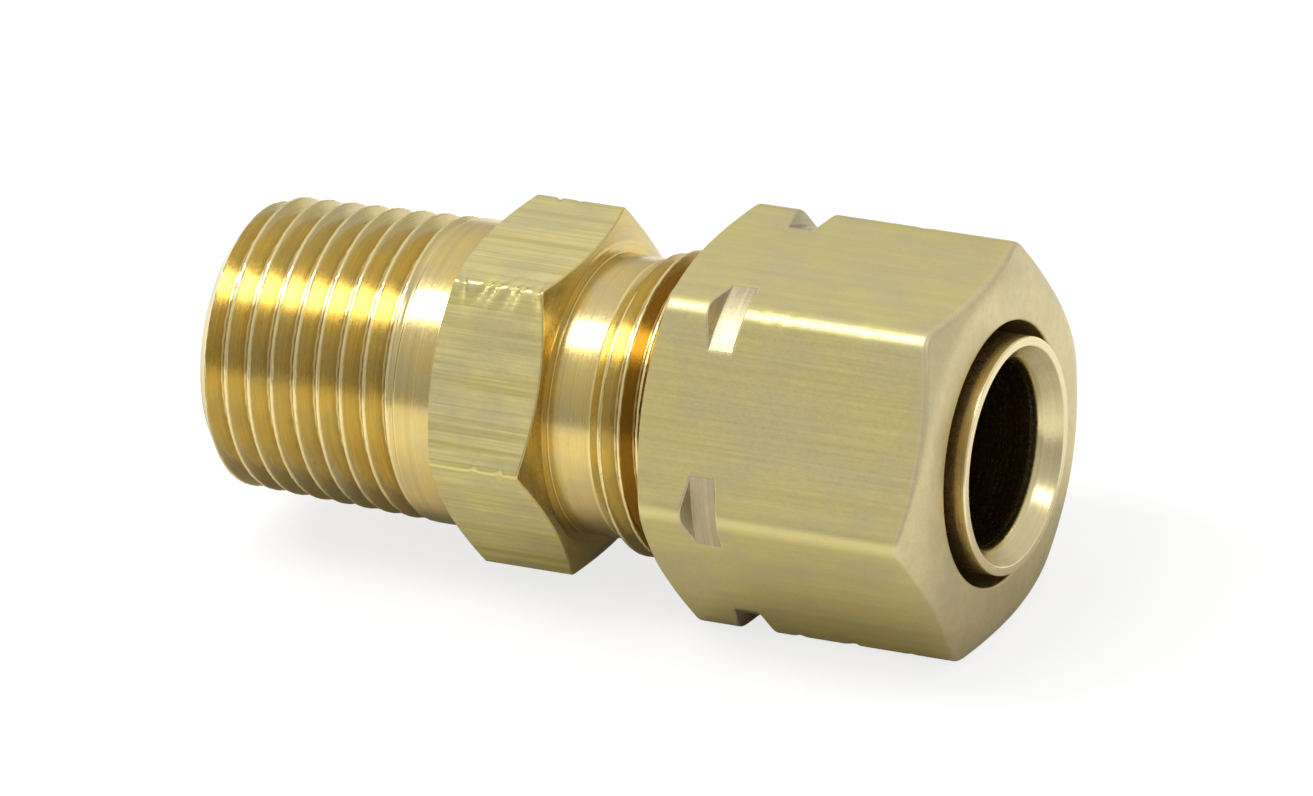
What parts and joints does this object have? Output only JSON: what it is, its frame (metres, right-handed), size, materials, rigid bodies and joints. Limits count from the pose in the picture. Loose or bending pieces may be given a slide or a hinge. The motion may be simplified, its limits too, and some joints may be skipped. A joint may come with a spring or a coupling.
{
  "type": "compression fitting",
  "caption": "Straight brass compression fitting that joins a plain tube to a female pipe thread: male connector body, long-tailed sleeve and loose hexagon nut.",
  "frame": {"origin": "centre of the end face of the tapered pipe thread, on the axis of the fitting", "axes": "+X along the axis from the pipe thread to the tail of the sleeve, +Z square to a flat of both hexagons, +Y completes the right-handed frame"},
  "size_m": [0.0581, 0.0288, 0.0254],
  "materials": {
    "body_brass": "turned threads and neck, drawn hexagon flats with fine lengthwise streaks",
    "nut_brass": "satin hexagon bar, faced ends",
    "sleeve_brass": "fine turned"
  },
  "bodies": {
    "body": {"connector_body": "body_brass"},
    "sleeve": {"compression_sleeve": "sleeve_brass"},
    "nut": {"compression_nut": "nut_brass"}
  },
  "joints": [
    {"name": "sleeve_slide", "type": "slide", "parent": "body", "child": "sleeve", "axis": [1, 0, 0], "range_m": [-0.00212, 0.00282]},
    {"name": "nut_turn", "type": "hinge", "parent": "sleeve", "child": "nut", "pos_m": [0.0463, 0, 0], "axis": [1, 0, 0], "range_deg": [-540, 720]}
  ],
  "couplings": [
    {"joint": "sleeve_slide", "follows": "nut_turn", "m_per_rad": 0.00022457}
  ]
}
